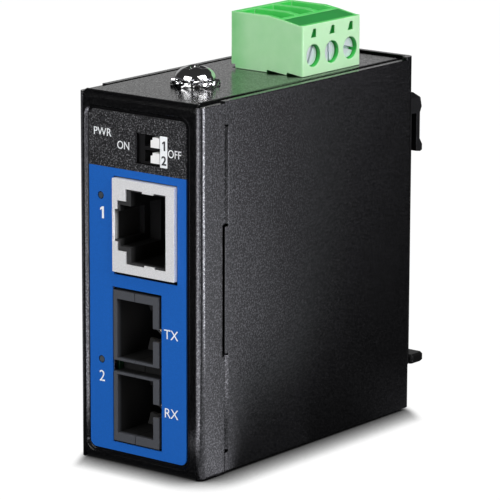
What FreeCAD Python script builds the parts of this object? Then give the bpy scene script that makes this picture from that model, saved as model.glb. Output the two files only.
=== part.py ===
import FreeCAD, Part
import os
import re
import Sketcher

# Slim DIN-rail media converter: one copper port, one duplex fibre port, plug-in power terminal.
# Frame: origin at the centre of the case's flat foot, X to the right of the front, Y to the back, Z up.

doc = FreeCAD.newDocument("mediaConverter")
dim = doc.addObject("Spreadsheet::Sheet", "dim")
nodes = []

sizes = {
    # folded case
    "caseWidth": 25.8, "caseDepth": 58.0, "caseHeight": 62.0, "gauge": 1.0, "bendRadius": 1.2,
    "panelGap": 0.1, "stripDepth": 6.15, "stripRelief": 0.6, "stripDrop": 0.4, "coverDrop": 0.1,
    "backRise": 0.35,
    "coverLift": 0.35, "seamGap": 0.1, "panFlange": 3.7, "panStep": 1.3, "rearFlange": 7.5, "rearInset": 1.5,
    "tabHeight": 15.9, "tabLow": 4.0, "tabHigh": 41.8, "tabReach": 3.6, "notchHeight": 0.4,
    "notchDepth": 0.85,
    "rampLength": 1.45, "screwEdge": 3.1, "threadBore": 1.5, "shankRadius": 1.45, "caseHead": 2.3,
    # front label and its recess
    "labelLeft": 10.65, "labelRight": 9.75, "labelFoot": 2.1, "labelHead": 59.0, "labelMargin": 0.45,
    "recessRim": 0.35,
    "recessDepth": 0.4, "labelGauge": 0.25, "labelCorner": 1.2, "labelPlay": 0.1,
    # circuit board
    "boardFace": -5.6, "boardGauge": 1.6, "boardEdge": 0.6, "standoffRadius": 2.4, "standoffHead": 2.07,
    "standoffHole": 2.1, "boardHole": 1.6, "boardHead": 2.3, "boardHeadHeight": 1.6, "legReach": 0.8,
    # copper port
    "jackLift": 0.35, "jackWidth": 13.05, "jackHeight": 15.6, "jackCentre": 40.4, "jackProud": 0.5,
    "jackLength": 20.5, "shellGauge": 0.3, "mouthLeft": 2.85, "mouthRight": 1.8, "mouthHalf": 6.25,
    "latchStep": 1.8, "latchHalf": 4.2, "latchHalfDeep": 2.7, "insertPlay": 0.1, "plugDepth": 14.0,
    "contactPitch": 1.02, "contactWidth": 0.35, "slotPlay": 0.1, "shellCorner": 0.2, "tabRise": 0.3,
    "cavityInset": 0.85,
    # fibre port
    "fibreLift": 0.1, "fibreWidth": 9.6, "fibreCentre": 16.65, "fibrePitch": 12.7, "fibreHalf": 12.75,
    "fibreSplit": 4.55, "splitGap": 0.12, "portHalf": 4.98, "portLeft": 0.8, "portRight": 1.2,
    "portGroove": 1.95, "grooveDepth": 2.6, "hookDepth": 4.9, "keyHalf": 1.1, "keyLength": 7.0,
    "noseLength": 15.0,
    "portDepth": 14.0, "moduleLength": 25.0, "sleeveBore": 1.26, "sleeveWall": 0.35, "sleeveLength": 6.3,
    "barrelRadius": 2.2, "barrelStart": 7.6, "barrelPlay": 0.3, "pinPitch": 2.54,
    # switch
    "leverHome": 3.3, "leverTravel": 1.9, "leverLength": 1.85, "leverWidth": 1.2, "leverPlay": 0.1,
    "leverNeck": 0.5,
    "switchCentre": 53.35, "windowLeft": -0.8, "windowRight": 4.4, "windowHalf": 2.45, "windowCentre": 53.55,
    # indicator lamps
    "powerColumn": -7.75, "portColumn": -8.2, "lampHole": 0.55, "pipeRadius": 0.5, "lampPower": 57.5,
    "lampOne": 44.8,
    "lampTwo": 17.2,
    # power terminal
    "polePitch": 5.08, "plugPlace": 38.65, "plugSpan": 15.9, "plugLeft": -5.3, "plugThick": 15.05,
    "plugHeight": 9.55, "plugSeat": 0.05, "plugStem": 9.05, "stemPlay": 0.15, "headerWall": 0.85,
    "headerFoot": 49.4, "headerFloor": 52.4, "headerThick": 8.6, "headerSpan": 16.4, "pinSide": 1.0,
    "pinColumn": -0.3, "pinTop": 60.2, "clampHeight": 3.25, "clampShank": 1.25, "clampHead": 1.75,
    "headHole": 1.9, "chamberHalf": 2.15, "chamberHeight": 4.3, "cageHalf": 1.95,
    "cageHeight": 3.4, "runPlay": 0.05, "funnelDepth": 2.2, "windowSide": 1.4, "windowHeight": 7.0,
    "endWall": 0.35, "slotHalf": 0.25, "notchRise": 0.4,
    # ground screw
    "groundPlace": 14.5, "groundHead": 3.4, "groundHeight": 2.4, "groundReach": 5.0, "washerRadius": 4.1,
    "washerGauge": 0.8, "toothGauge": 0.25, "washerHole": 1.65, "collarRadius": 2.7, "collarReach": 1.5,
    "crossWidth": 1.0,
    # rail clip
    "clipHalf": 9.0, "clipHead": 2.8, "clipFoot": 5.6, "clipTop": 54.6, "seatDepth": 4.9,
    "hookGap": 1.4, "hookWall": 1.05,
    "hookFoot": 44.3, "hookRoot": 51.0, "railTop": 46.0, "railHeight": 35.1, "stopHalf": 5.5,
    "latchHalfWide": 6.1, "latchHalfNeck": 4.1, "slideFloor": 1.3, "slideGauge": 1.6, "slidePlay": 0.1,
    "latchFoot": 6.2, "latchTop": 15.0, "catchGap": 1.1, "catchTop": 12.3,
    "handleHalf": 9.5, "handleReach": 8.9, "handleGauge": 1.7, "springTop": 24.0, "springRadius": 0.75,
    "springWire": 0.26, "springTurns": 6, "clipScrewLow": 29.5, "clipScrewHigh": 40.0,
}

ties = {
    "halfWidth": "=caseWidth / 2", "sideIn": "=caseWidth / 2 - gauge", "front": "=-caseDepth / 2",
    "back": "=caseDepth / 2", "faceIn": "=front + gauge", "backIn": "=back - gauge",
    "innerBend": "=bendRadius - gauge", "panHalf": "=sideIn - panelGap", "panStart": "=front + panStep",
    "rearOut": "=backIn - panelGap", "rearIn": "=rearOut - gauge", "roofIn": "=caseHeight - gauge",
    "coverFront": "=front + stripDepth + seamGap", "labelBack": "=front + recessDepth",
    "boardBack": "=boardFace - boardGauge", "boardFront": "=faceIn + boardEdge",
    "jackLeft": "=boardFace + jackLift", "jackFront": "=front - jackProud",
    "jackRight": "=jackLeft + jackWidth",
    "insertLeft": "=jackLeft + shellGauge + insertPlay",
    "insertRight": "=jackRight - shellGauge - insertPlay",
    "mouthIn": "=jackLeft + mouthLeft", "mouthOut": "=jackRight - mouthRight",
    "fibreLeft": "=boardFace + fibreLift", "fibreRight": "=fibreLeft + fibreWidth",
    "portIn": "=fibreLeft + portLeft", "portOut": "=fibreRight - portRight",
    "portAxis": "=(portIn + portOut) / 2",
    "fibreTop": "=fibreCentre + fibreHalf", "fibreFoot": "=fibreCentre - fibreHalf",
    "txHeight": "=fibreCentre + fibrePitch / 2", "rxHeight": "=fibreCentre - fibrePitch / 2",
    "noseBack": "=front + noseLength", "sleeveRadius": "=sleeveBore + sleeveWall",
    "plugCentre": "=front + plugPlace", "plugBase": "=caseHeight + plugSeat",
    "plugTop": "=plugBase + plugHeight",
    "plugRight": "=plugLeft + plugThick", "stemLeft": "=boardFace + headerWall + stemPlay",
    "stemRight": "=boardFace + headerThick - headerWall - stemPlay",
    "stemHalf": "=headerSpan / 2 - headerWall - stemPlay - 0.15", "stemFoot": "=plugBase - plugStem",
    "clampAxis": "=plugBase + clampHeight", "chamberFloor": "=plugBase + 0.85",
    "chamberRoof": "=chamberFloor + chamberHeight", "shoulder": "=plugRight - 2.4",
    "cageFoot": "=clampAxis - cageHeight / 2", "cageRoof": "=clampAxis + cageHeight / 2",
    "groundRow": "=front + groundPlace", "groundSeat": "=caseHeight + washerGauge",
    "channelTop": "=latchTop + slidePlay", "railFoot": "=railTop - railHeight",
    "switchLow": "=switchCentre - 1.27", "switchHigh": "=switchCentre + 1.27",
}

sizeNames = {**sizes, **ties}
lampPlaces = (("power", "powerColumn", "lampPower"), ("port_one", "portColumn", "lampOne"),
              ("port_two", "portColumn", "lampTwo"))
boardHoles = (("-14", "55.5"), ("22.5", "55.5"), ("22.5", "6.5"), ("-4", "34.5"))
signs = {"XY": 1, "XZ": -1, "YZ": 1}
turns = {"XY": FreeCAD.Rotation(), "XZ": FreeCAD.Rotation(FreeCAD.Vector(1, 0, 0), 90),
         "YZ": FreeCAD.Rotation(FreeCAD.Vector(1, 1, 1), 120)}
axisTurns = {"x": FreeCAD.Rotation(FreeCAD.Vector(0, 1, 0), 90), "z": FreeCAD.Rotation(),
             "y": FreeCAD.Rotation(FreeCAD.Vector(1, 0, 0), -90)}


def fillSheet():
    for row, (name, value) in enumerate(sizeNames.items(), start=1):
        dim.set("A%d" % row, name)
        dim.set("B%d" % row, str(value))
        dim.setAlias("B%d" % row, name)
    doc.recompute()


def full(text):
    return re.sub(r"[A-Za-z]\w*", lambda hit: ("dim." if hit.group(0) in sizeNames else "") + hit.group(0),
                  str(text))


def val(text):
    return float(dim.evalExpression(full(text)))


def bind(thing, path, text):
    thing.setExpression(path, full(text))


def keep(name, thing):
    thing.Label = name
    nodes.append((name, thing))
    return thing


# sketches

def toward(text, here, other, radius):
    if abs(here - other) < 1e-6:
        return text
    return "(%s) %s (%s)" % (text, "+" if other > here else "-", radius)


def stopsOf(corners):
    # spell a square corner with a radius as two stops joined by an arc
    numbers = [(val(corner[0]), val(corner[1])) for corner in corners]
    stops = []
    for k, corner in enumerate(corners):
        if len(corner) == 2:
            stops.append((corner[0], corner[1], None, None))
            continue
        here, before, after = numbers[k], numbers[k - 1], numbers[(k + 1) % len(corners)]
        for other, radius in ((before, corner[2]), (after, None)):
            stops.append((toward(corner[0], here[0], other[0], corner[2]),
                          toward(corner[1], here[1], other[1], corner[2]), radius, here))
    return stops


def arcBetween(start, end, corner):
    # the quarter circle that rounds a square corner, and whether it is drawn from end to start
    centre = start + end - corner
    flip = (start - centre).cross(end - centre).z < 0
    first, last = (end, start) if flip else (start, end)
    middle = centre + (corner - centre).normalize() * (start - centre).Length
    return Part.Arc(first, middle, last), flip


def drawOutline(sketch, corners):
    stops = stopsOf(corners)
    places = [FreeCAD.Vector(val(stop[0]), val(stop[1]), 0) for stop in stops]
    first = sketch.GeometryCount
    ends = []
    for k, stop in enumerate(stops):
        after = places[(k + 1) % len(stops)]
        if stop[2] is None:
            sketch.addGeometry(Part.LineSegment(places[k], after))
            ends.append((1, 2))
        else:
            arc, flip = arcBetween(places[k], after, FreeCAD.Vector(stop[3][0], stop[3][1], 0))
            sketch.addGeometry(arc)
            ends.append((2, 1) if flip else (1, 2))
    for k, stop in enumerate(stops):
        follower = (k + 1) % len(stops)
        sketch.addConstraint(Sketcher.Constraint("Coincident", first + k, ends[k][1],
                                                 first + follower, ends[follower][0]))
        pin(sketch, first + k, ends[k][0], stop[0], stop[1])
        if stop[2] is not None:
            index = sketch.addConstraint(Sketcher.Constraint("Radius", first + k, val(stop[2])))
            bind(sketch, "Constraints[%d]" % index, stop[2])


def pin(sketch, shape, end, across, up):
    for kind, text in (("DistanceX", across), ("DistanceY", up)):
        index = sketch.addConstraint(Sketcher.Constraint(kind, -1, 1, shape, end, val(text)))
        bind(sketch, "Constraints[%d]" % index, text)


def drawCircle(sketch, across, up, radius):
    centre = FreeCAD.Vector(val(across), val(up), 0)
    shape = sketch.addGeometry(Part.Circle(centre, FreeCAD.Vector(0, 0, 1), val(radius)))
    pin(sketch, shape, 3, across, up)
    index = sketch.addConstraint(Sketcher.Constraint("Radius", shape, val(radius)))
    bind(sketch, "Constraints[%d]" % index, radius)


def drawLoops(sketch, loops):
    for loop in loops:
        if isinstance(loop, tuple):
            drawCircle(sketch, *loop)
        else:
            drawOutline(sketch, loop)


def rect(left, right, low, high, radius=None):
    corners = [(left, low), (right, low), (right, high), (left, high)]
    return corners if radius is None else [corner + (radius,) for corner in corners]


# bodies

def newBody(name):
    return keep(name, doc.addObject("PartDesign::Body", name))


def sketchOn(body, plane, place):
    sketch = body.newObject("Sketcher::SketchObject", "outline")
    origin = next(one for one in body.Origin.OriginFeatures if one.Role == plane + "_Plane")
    sketch.AttachmentSupport = [(origin, "")]
    sketch.MapMode = "FlatFace"
    bind(sketch, "AttachmentOffset.Base.z", place if signs[plane] > 0 else "-(%s)" % place)
    return sketch


def sweep(body, kind, plane, low, high, *loops):
    # pad or pocket the loops between two heights measured along the plane's axis
    upward = (kind == "Pad") == (signs[plane] > 0)
    sketch = sketchOn(body, plane, low if upward else high)
    drawLoops(sketch, loops)
    feature = body.newObject("PartDesign::" + kind, kind.lower())
    feature.Profile = sketch
    bind(feature, "Length", "(%s) - (%s)" % (high, low))
    body.Tip = feature
    return feature


def turn(body, plane, place, corners):
    sketch = sketchOn(body, plane, place)
    drawOutline(sketch, corners)
    feature = body.newObject("PartDesign::Revolution", "turned")
    feature.Profile = sketch
    feature.ReferenceAxis = (sketch, ["V_Axis"])
    feature.Angle = 360
    body.Tip = feature
    return feature


def dress(body, kind, size, test):
    # round or chamfer every edge of the body that passes the test
    doc.recompute()
    base = body.Tip
    names = ["Edge%d" % k for k, edge in enumerate(base.Shape.Edges, start=1) if test(edge)]
    feature = body.newObject("PartDesign::" + kind, kind.lower())
    feature.Base = (base, names)
    bind(feature, "Radius" if kind == "Fillet" else "Size", size)
    body.Tip = feature
    return feature


def near(number, text):
    return abs(number - val(text)) < 1e-3


def runs(edge, axis, shortest=0.0):
    span = edge.BoundBox
    lengths = {"x": span.XLength, "y": span.YLength, "z": span.ZLength}
    return lengths[axis] > shortest and sum(lengths.values()) - lengths[axis] < 1e-3


# plain solids

def box(x, y, z, name="block"):
    solid = doc.addObject("Part::Box", name)
    for side, axis, (low, high) in (("Length", "x", x), ("Width", "y", y), ("Height", "z", z)):
        bind(solid, side, "(%s) - (%s)" % (high, low))
        bind(solid, "Placement.Base." + axis, low)
    return solid


def rod(axis, centre, low, high, radius, farRadius=None):
    # cylinder, or cone, along an axis; centre gives the two other coordinates in x, y, z order
    solid = doc.addObject("Part::Cylinder" if farRadius is None else "Part::Cone", "rod")
    solid.Placement = FreeCAD.Placement(FreeCAD.Vector(), axisTurns[axis])
    if farRadius is None:
        bind(solid, "Radius", radius)
    else:
        bind(solid, "Radius1", radius)
        bind(solid, "Radius2", farRadius)
    bind(solid, "Height", "(%s) - (%s)" % (high, low))
    others = [one for one in "xyz" if one != axis]
    for one, text in zip([axis] + others, [low] + list(centre)):
        bind(solid, "Placement.Base." + one, text)
    return solid


def prism(plane, low, high, corners):
    sketch = doc.addObject("Sketcher::SketchObject", "outline")
    sketch.Placement = FreeCAD.Placement(FreeCAD.Vector(), turns[plane])
    start = low if signs[plane] > 0 else high
    bind(sketch, "Placement.Base." + {"XY": "z", "XZ": "y", "YZ": "x"}[plane], start)
    drawOutline(sketch, corners)
    solid = doc.addObject("Part::Extrusion", "prism")
    solid.Base = sketch
    solid.DirMode = "Normal"
    solid.Solid = True
    bind(solid, "LengthFwd", "(%s) - (%s)" % (high, low))
    return solid


def gather(solids, name="group"):
    group = doc.addObject("Part::Compound", name)
    group.Links = list(solids)
    return group


def fuse(solids, name="union"):
    solids = list(solids)
    if len(solids) == 1:
        return solids[0]
    union = doc.addObject("Part::MultiFuse", name)
    union.Shapes = solids
    return union


def cut(base, tools, name="cutout"):
    part = doc.addObject("Part::Cut", name)
    part.Base = base
    part.Tool = fuse(tools, "tools")
    return part


def screw(axis, sign, centre, seat, headRadius, headHeight, shank, reach):
    # pan head screw with a cross recess; the head stands on the seat on the signed side
    def span(start, end):
        ends = ["(%s) %s (%s)" % (seat, "+" if sign > 0 else "-", one) for one in (start, end)]
        return ends if sign > 0 else ends[::-1]

    solid = fuse([rod(axis, centre, *span("0", headHeight), headRadius),
                  rod(axis, centre, *span("-(%s)" % reach, "0"), shank)])
    recess = span("(%s) * 0.35" % headHeight, "(%s) + 0.1" % headHeight)
    arms = []
    for wide, slim in ((0.5, 0.14), (0.14, 0.5)):
        sides = [["(%s) %s (%s) * %s" % (place, way, headRadius, share) for way in "-+"]
                 for place, share in zip(centre, (wide, slim))]
        spans = dict(zip([one for one in "xyz" if one != axis], sides))
        spans[axis] = recess
        arms.append(box(spans["x"], spans["y"], spans["z"]))
    return cut(solid, arms)


# case

def faceLoops(play):
    # cut-outs of the front panel, widened all round by the play
    return [
        rect("jackLeft - 0.1 - " + play, "jackRight + 0.02 + " + play,
             "jackCentre - jackHeight / 2 - 0.5 - " + play, "jackCentre + jackHeight / 2 + 0.1 + " + play),
        rect("fibreLeft - 0.15 - " + play, "fibreRight + 0.4 + " + play,
             "fibreFoot - 0.2 - " + play, "fibreTop + 0.4 + " + play),
        rect("windowLeft - " + play, "windowRight + " + play,
             "windowCentre - windowHalf - " + play, "windowCentre + windowHalf + " + play),
    ] + [(column, up, "lampHole + " + play) for _, column, up in lampPlaces]


def frontChassis():
    body = newBody("front_chassis")
    edge = "front + stripDepth"
    sweep(body, "Pad", "XY", "0", "caseHeight - stripDrop", [
        ("-halfWidth", edge), ("-halfWidth", "front", "bendRadius"), ("halfWidth", "front", "bendRadius"),
        ("halfWidth", edge), ("sideIn", edge), ("sideIn", "faceIn", "innerBend"),
        ("-sideIn", "faceIn", "innerBend"), ("-sideIn", edge)])
    relief = "panHalf + 0.08"
    sweep(body, "Pocket", "XZ", "front - 1", "faceIn + innerBend",
          rect("-(%s)" % relief, relief, "caseHeight - bendRadius - 0.2", "caseHeight + 1"),
          rect("-(%s)" % relief, relief, "-1", "bendRadius + 0.2"))
    sweep(body, "Pad", "YZ", "-panHalf + rearInset", "panHalf - rearInset", [
        ("rearOut", "rearFlange"), ("rearOut", "0", "bendRadius"), ("front", "0", "bendRadius"),
        ("front", "caseHeight", "bendRadius"), ("rearOut", "caseHeight", "bendRadius"),
        ("rearOut", "caseHeight - rearFlange"), ("rearIn", "caseHeight - rearFlange"),
        ("rearIn", "roofIn", "innerBend"), ("faceIn", "roofIn", "innerBend"),
        ("faceIn", "gauge", "innerBend"), ("rearIn", "gauge", "innerBend"), ("rearIn", "rearFlange")])
    sweep(body, "Pad", "YZ", "-panHalf", "panHalf", [
        ("panStart", "0"), ("panStart", "gauge"), ("faceIn", "gauge", "innerBend"),
        ("faceIn", "roofIn", "innerBend"), ("panStart", "roofIn"), ("panStart", "caseHeight"),
        ("front", "caseHeight", "bendRadius"), ("front", "0", "bendRadius")])
    sweep(body, "Pad", "XZ", "panStart", "rearOut - bendRadius",
          rect("-panHalf", "panHalf", "0", "caseHeight", "bendRadius"),
          rect("-panHalf + gauge", "panHalf - gauge", "gauge", "roofIn", "innerBend"))
    sweep(body, "Pocket", "YZ", "-panHalf - 0.05", "panHalf + 0.05",
          rect("panStart - 0.05", "rearOut - bendRadius + 0.05", "panFlange", "caseHeight - panFlange"))
    sweep(body, "Pocket", "YZ", "-halfWidth - 1", "halfWidth + 1",
          rect("%s - stripRelief" % edge, "%s + 1" % edge, "tabLow + tabHeight", "tabHigh"))
    sweep(body, "Pocket", "XZ", "front", "labelBack",
          rect("-labelLeft - labelMargin", "labelRight + labelMargin", "labelFoot - labelMargin",
               "labelHead + labelMargin", "labelCorner + labelMargin"))
    dress(body, "Chamfer", "recessRim", lambda edge: near(edge.BoundBox.YMin, "front")
          and near(edge.BoundBox.YMax, "front")
          and abs(edge.CenterOfMass.x) < val("labelLeft + labelMargin + 0.01")
          and edge.CenterOfMass.z > val("labelFoot - labelMargin - 0.01")
          and edge.CenterOfMass.z < val("labelHead + labelMargin + 0.01"))
    sweep(body, "Pocket", "XZ", "labelBack", "faceIn + 0.1", *faceLoops("0"))
    half = "plugSpan / 2 + 0.3"
    sweep(body, "Pocket", "XY", "roofIn - 0.1", "caseHeight",
          rect("boardFace + 0.1", "boardFace + headerThick + 0.2", "plugCentre - " + half,
               "plugCentre + " + half))
    sweep(body, "Pad", "XY", "roofIn - collarReach", "roofIn", ("0", "groundRow", "collarRadius"))
    sweep(body, "Pocket", "XY", "roofIn - collarReach - 0.1", "caseHeight", ("0", "groundRow", "threadBore"))
    sweep(body, "Pocket", "XZ", "rearIn - 0.1", "rearOut + 0.1", ("0", "screwEdge", "threadBore"),
          ("0", "caseHeight - screwEdge", "threadBore"))


def tabLoop(side):
    inner = "(panHalf - gauge)"
    corners = [("halfWidth", "coverFront + rampLength"), ("halfWidth", "coverFront + notchDepth"),
               ("panHalf", "coverFront - 0.05"), ("panHalf", "coverFront - tabReach"),
               (inner, "coverFront - tabReach"), (inner, "coverFront + 0.5"),
               ("sideIn", "coverFront + rampLength")]
    return [("%d * %s" % (side, across), along) for across, along in corners]


def rearCover():
    body = newBody("rear_cover")
    sweep(body, "Pad", "XY", "coverLift", "caseHeight - coverDrop", [
        ("-halfWidth", "coverFront"), ("-halfWidth", "back", "bendRadius"),
        ("halfWidth", "back", "bendRadius"),
        ("halfWidth", "coverFront"), ("sideIn", "coverFront"), ("sideIn", "backIn", "innerBend"),
        ("-sideIn", "backIn", "innerBend"), ("-sideIn", "coverFront")])
    rim, ahead = "caseHeight - coverDrop", "backIn - bendRadius"
    sweep(body, "Pad", "XY", rim, "caseHeight + backRise", [
        ("-halfWidth", ahead), ("-halfWidth", "back", "bendRadius"), ("halfWidth", "back", "bendRadius"),
        ("halfWidth", ahead), ("sideIn", ahead), ("sideIn", "backIn", "innerBend"),
        ("-sideIn", "backIn", "innerBend"), ("-sideIn", ahead)])
    notches = []
    for foot in ("tabLow", "tabHigh"):
        top = foot + " + tabHeight"
        ahead, step, ramp = "coverFront - 1", "coverFront + notchDepth", "coverFront + rampLength"
        notches.append([(ahead, foot + " - notchHeight"), (step, foot + " - notchHeight"), (step, foot),
                        (ramp, foot), (ramp, top), (step, top), (step, top + " + notchHeight"),
                        (ahead, top + " + notchHeight")])
    sweep(body, "Pocket", "YZ", "-halfWidth - 1", "halfWidth + 1", *notches)
    for foot in ("tabLow", "tabHigh"):
        for side in (-1, 1):
            sweep(body, "Pad", "XY", foot, foot + " + tabHeight", tabLoop(side))
    sweep(body, "Pocket", "YZ", "-halfWidth - 0.1", "-sideIn + 0.1",
          *[(along, up, "standoffHole") for along, up in boardHoles])
    clipScrews = ("clipScrewLow", "clipScrewHigh")
    sweep(body, "Pad", "XZ", "backIn - collarReach", "backIn",
          *[("0", up, "collarRadius") for up in clipScrews])
    sweep(body, "Pocket", "XZ", "backIn - collarReach - 0.1", "back + 0.1",
          *[("0", up, "threadBore") for up in clipScrews])
    sweep(body, "Pocket", "XZ", "backIn - 0.1", "back + 0.1",
          *[("0", up, "threadBore + 0.25") for up in ("screwEdge", "caseHeight - screwEdge")])


def frontLabel():
    body = newBody("front_label")
    sweep(body, "Pad", "XZ", "labelBack - labelGauge", "labelBack",
          rect("-labelLeft", "labelRight", "labelFoot", "labelHead", "labelCorner"), *faceLoops("labelPlay"))


def caseFasteners():
    keep("cover_screws", gather([
        screw("y", 1, ("0", up), "back", "caseHead", "1.15", "shankRadius", "6")
        for up in ("screwEdge", "caseHeight - screwEdge")]))
    body = newBody("ground_screw")
    head = "groundSeat + groundHeight"
    turn(body, "XZ", "groundRow", [
        ("0", "groundSeat - groundReach"), ("shankRadius", "groundSeat - groundReach"),
        ("shankRadius", "groundSeat"), ("groundHead", "groundSeat"),
        ("groundHead", "groundSeat + groundHeight * 0.45"),
        ("groundHead * 0.88", "groundSeat + groundHeight * 0.78"), ("groundHead * 0.6", head), ("0", head)])
    arm, slim = "groundHead * 0.55", "crossWidth / 2"
    sweep(body, "Pocket", "XY", head + " - 1.5", head, [
        ("-" + arm, "groundRow - " + slim), ("-" + slim, "groundRow - " + slim),
        ("-" + slim, "groundRow - " + arm),
        (slim, "groundRow - " + arm), (slim, "groundRow - " + slim), (arm, "groundRow - " + slim),
        (arm, "groundRow + " + slim), (slim, "groundRow + " + slim), (slim, "groundRow + " + arm),
        ("-" + slim, "groundRow + " + arm), ("-" + slim, "groundRow + " + slim),
        ("-" + arm, "groundRow + " + slim)])
    starWasher()


def starWasher():
    ring = [rod("z", ("0", "groundRow"), "caseHeight + 0.1", "groundSeat - 0.1", "washerRadius - 0.9")]
    for k in range(12):
        tooth = doc.addObject("Part::Box", "tooth")
        angle = 30 * k + 15
        aim = FreeCAD.Rotation(FreeCAD.Vector(0, 0, 1), angle)
        twist = FreeCAD.Rotation(FreeCAD.Vector(1, 0, 0), 24)
        tooth.Placement = FreeCAD.Placement(FreeCAD.Vector(), aim.multiply(twist))
        bind(tooth, "Length", "1.4")
        bind(tooth, "Width", "1.2")
        bind(tooth, "Height", "toothGauge")
        reach = "(washerRadius - 1.4)"
        bind(tooth, "Placement.Base.x", "%s * cos(%d deg) + 0.6 * sin(%d deg)" % (reach, angle, angle))
        bind(tooth, "Placement.Base.y", "groundRow + %s * sin(%d deg) - 0.6 * cos(%d deg)"
             % (reach, angle, angle))
        bind(tooth, "Placement.Base.z", "caseHeight + 0.06")
        ring.append(tooth)
    hole = rod("z", ("0", "groundRow"), "caseHeight - 0.1", "groundSeat + 0.1", "washerHole")
    keep("star_washer", cut(fuse(ring), [hole]))


# circuit board and what stands on it

def boardScrew(spot):
    # cheese head screw with a slot
    head = rod("x", spot, "boardFace", "boardFace + boardHeadHeight", "boardHead")
    shank = rod("x", spot, "boardFace - 4.8", "boardFace", "shankRadius")
    slot = box(("boardFace + boardHeadHeight - 0.7", "boardFace + boardHeadHeight + 0.1"),
               (spot[0] + " - 2.5", spot[0] + " + 2.5"), (spot[1] + " - 0.3", spot[1] + " + 0.3"))
    return cut(fuse([head, shank]), [slot])


def jackRows():
    return ["jackCentre + %s * contactPitch" % step for step in (-3.5, -2.5, -1.5, -0.5, 0.5, 1.5, 2.5, 3.5)]


def modulePins():
    return [("noseBack + moduleLength - 2", "fibreCentre + %d * pinPitch" % step) for step in range(-4, 5)]


def poles():
    return ["plugCentre + %d * polePitch" % step for step in (-1, 0, 1)]


def switchPins():
    return [("front + %s" % along, up) for along in ("3.2", "8") for up in ("switchLow", "switchHigh")]


def pinBlock(left, right, along, up, half):
    # square pin, or the square hole that it stands in
    return box((left, right), ("%s - %s" % (along, half), "%s + %s" % (along, half)),
               ("%s - %s" % (up, half), "%s + %s" % (up, half)))


def hexagon(along, up, radius):
    return [("%s + %s * cos(%d deg)" % (along, radius, angle), "%s + %s * sin(%d deg)" % (up, radius, angle))
            for angle in range(0, 360, 60)]


def circuitBoard():
    plate = box(("boardBack", "boardFace"), ("boardFront", "backIn - 1.6"),
                ("gauge + boardEdge", "roofIn - boardEdge"))
    spots = [(along, up, "boardHole") for along, up in boardHoles]
    spots += [("noseBack + 4", "fibreCentre %s 10.16" % sign, "1.1") for sign in "+-"]
    tools = [rod("x", (along, up), "boardBack - 1", "boardFace + 1", radius) for along, up, radius in spots]
    legs = [("jackFront + 17", up, 0.36) for up in jackRows()]
    legs += [(along, up, 0.36) for along, up in modulePins() + switchPins()]
    legs += [(along, "headerFoot + 1.7", 0.7) for along in poles()]
    tools += [pinBlock("boardBack - 1", "boardFace + 1", *leg) for leg in legs]
    for sign in "+-":
        up = "jackCentre %s (jackHeight / 2 - shellGauge / 2)" % sign
        tools.append(box(("boardBack - 1", "boardFace + 1"), ("jackFront + 8.8", "jackFront + 10.8"),
                         (up + " - 0.35", up + " + 0.35")))
    keep("circuit_board", cut(plate, tools))
    keep("board_standoffs", gather([cut(
        fuse([rod("x", spot, "-halfWidth", "-sideIn", "standoffHead"),
              prism("YZ", "-sideIn", "boardBack", hexagon(*spot, "standoffRadius"))]),
        [rod("x", spot, "-sideIn + 0.6", "boardBack + 1", "threadBore")]) for spot in boardHoles]))
    keep("board_screws", gather([boardScrew(spot) for spot in boardHoles]))


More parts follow.
